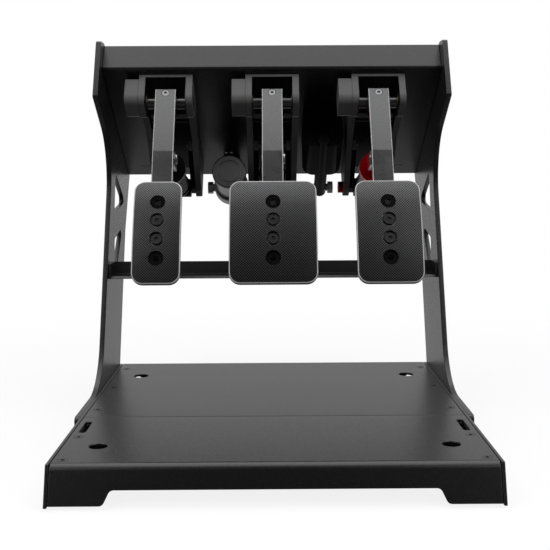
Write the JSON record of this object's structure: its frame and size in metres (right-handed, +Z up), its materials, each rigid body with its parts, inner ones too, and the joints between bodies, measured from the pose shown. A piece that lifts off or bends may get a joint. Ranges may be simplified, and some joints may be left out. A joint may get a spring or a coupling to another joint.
{
  "type": "sim racing pedal set",
  "caption": "Hanging clutch, brake and throttle pedals with sprung and hydraulic struts under a sloping deck, in a free-standing steel frame with a heel plate.",
  "frame": {"origin": "centre of the footprint, on the floor under the rubber feet", "axes": "+X to the driver's right, +Y away from the driver, +Z up"},
  "size_m": [0.409, 0.5439, 0.436],
  "materials": {
    "powder_coat": "fine-textured black powder coat",
    "black_steel": "blackened steel",
    "rubber": "matt",
    "black_plastic": "matt",
    "grey_anodised": "bead-blasted grey anodise",
    "dark_anodised": "dark grey anodise with bright edges",
    "black_anodised": "satin black anodise",
    "steel": "bright turned steel",
    "bronze": "sintered bronze",
    "carbon_pad": "carbon-fibre twill under clear coat",
    "red_anodised": "red anodise",
    "spring_steel": "dark spring steel"
  },
  "bodies": {
    "frame": {"left_upright": "powder_coat", "right_upright": "powder_coat", "left_base_rail": "powder_coat", "right_base_rail": "powder_coat", "heel_plate": "powder_coat", "rear_plate": "powder_coat", "cross_bar": "powder_coat", "pedal_deck": "powder_coat", "heel_screws": "black_steel", "upright_screws": "black_steel", "bracket_screws": "black_steel", "rubber_feet": "rubber", "controller_case": "black_plastic", "brake_cross_bolt": "steel", "slave_cylinder": "grey_anodised", "slave_cap": "dark_anodised", "accumulator": "black_plastic", "accumulator_tube": "black_anodised", "clutch_bracket": "black_anodised", "clutch_bearings": "bronze", "clutch_sensor_case": "black_anodised", "brake_bracket": "black_anodised", "brake_bearings": "bronze", "brake_sensor_case": "black_anodised", "throttle_bracket": "black_anodised", "throttle_bearings": "bronze", "throttle_sensor_case": "black_anodised"},
    "clutch_pedal": {"clutch_arm": "dark_anodised", "clutch_axle": "black_steel", "clutch_pad_mount": "dark_anodised", "clutch_pad": "carbon_pad", "clutch_pedal_screws": "black_steel", "clutch_fork_pin": "steel"},
    "clutch_swivel": {"clutch_trunnion": "black_anodised", "clutch_trunnion_bolts": "black_anodised", "clutch_spring": "spring_steel"},
    "clutch_strut": {"clutch_rod": "steel"},
    "clutch_nut": {"clutch_preload_nut": "black_anodised"},
    "brake_pedal": {"brake_arm": "dark_anodised", "brake_axle": "black_steel", "brake_pad_mount": "dark_anodised", "brake_pad": "carbon_pad", "brake_pedal_screws": "black_steel", "brake_fork_pin": "steel"},
    "brake_swivel": {"brake_master_cylinder": "dark_anodised", "brake_gland": "grey_anodised"},
    "brake_strut": {"brake_pushrod": "steel"},
    "throttle_pedal": {"throttle_arm": "dark_anodised", "throttle_axle": "black_steel", "throttle_pad_mount": "dark_anodised", "throttle_pad": "carbon_pad", "throttle_pedal_screws": "black_steel", "throttle_fork_pin": "steel"},
    "throttle_swivel": {"throttle_trunnion": "black_anodised", "throttle_trunnion_bolts": "red_anodised", "throttle_spring": "spring_steel"},
    "throttle_strut": {"throttle_rod": "steel"},
    "throttle_nut": {"throttle_preload_nut": "red_anodised"}
  },
  "joints": [
    {"name": "clutch_press", "type": "hinge", "parent": "frame", "child": "clutch_pedal", "pos_m": [-0.125, 0.079, 0.36511], "axis": [1, 0, 0], "range_deg": [0, 18], "stiffness_Nm_per_rad": 12, "springref_deg": -17.19},
    {"name": "clutch_swing", "type": "hinge", "parent": "frame", "child": "clutch_swivel", "pos_m": [-0.125, 0.20131, 0.2621], "axis": [1, 0, 0], "range_deg": [0, 0.51]},
    {"name": "clutch_slide", "type": "slide", "parent": "clutch_swivel", "child": "clutch_strut", "axis": [0, 0.971, -0.239], "range_m": [0, 0.0225], "deforming": ["clutch_spring"]},
    {"name": "clutch_preload", "type": "hinge", "parent": "clutch_strut", "child": "clutch_nut", "pos_m": [-0.125, 0.20131, 0.2621], "axis": [0, 0.971, -0.239], "continuous": true},
    {"name": "brake_press", "type": "hinge", "parent": "frame", "child": "brake_pedal", "pos_m": [0, 0.079, 0.36511], "axis": [1, 0, 0], "range_deg": [0, 8], "stiffness_Nm_per_rad": 60, "springref_deg": -5.73},
    {"name": "brake_swing", "type": "hinge", "parent": "frame", "child": "brake_swivel", "pos_m": [0, 0.20131, 0.2621], "axis": [1, 0, 0], "range_deg": [0, 0.49]},
    {"name": "brake_slide", "type": "slide", "parent": "brake_swivel", "child": "brake_strut", "axis": [0, 0.971, -0.239], "range_m": [0, 0.01]},
    {"name": "throttle_press", "type": "hinge", "parent": "frame", "child": "throttle_pedal", "pos_m": [0.125, 0.079, 0.36511], "axis": [1, 0, 0], "range_deg": [0, 18], "stiffness_Nm_per_rad": 9, "springref_deg": -17.19},
    {"name": "throttle_swing", "type": "hinge", "parent": "frame", "child": "throttle_swivel", "pos_m": [0.125, 0.20131, 0.2621], "axis": [1, 0, 0], "range_deg": [0, 0.51]},
    {"name": "throttle_slide", "type": "slide", "parent": "throttle_swivel", "child": "throttle_strut", "axis": [0, 0.971, -0.239], "range_m": [0, 0.0225], "deforming": ["throttle_spring"]},
    {"name": "throttle_preload", "type": "hinge", "parent": "throttle_strut", "child": "throttle_nut", "pos_m": [0.125, 0.20131, 0.2621], "axis": [0, 0.971, -0.239], "continuous": true}
  ],
  "couplings": [
    {"joint": "clutch_swing", "follows": "clutch_press", "ratio": 0.0282},
    {"joint": "clutch_slide", "follows": "clutch_press", "m_per_rad": 0.071431},
    {"joint": "brake_swing", "follows": "brake_press", "ratio": 0.061},
    {"joint": "brake_slide", "follows": "brake_press", "m_per_rad": 0.071107},
    {"joint": "throttle_swing", "follows": "throttle_press", "ratio": 0.0282},
    {"joint": "throttle_slide", "follows": "throttle_press", "m_per_rad": 0.071431}
  ]
}
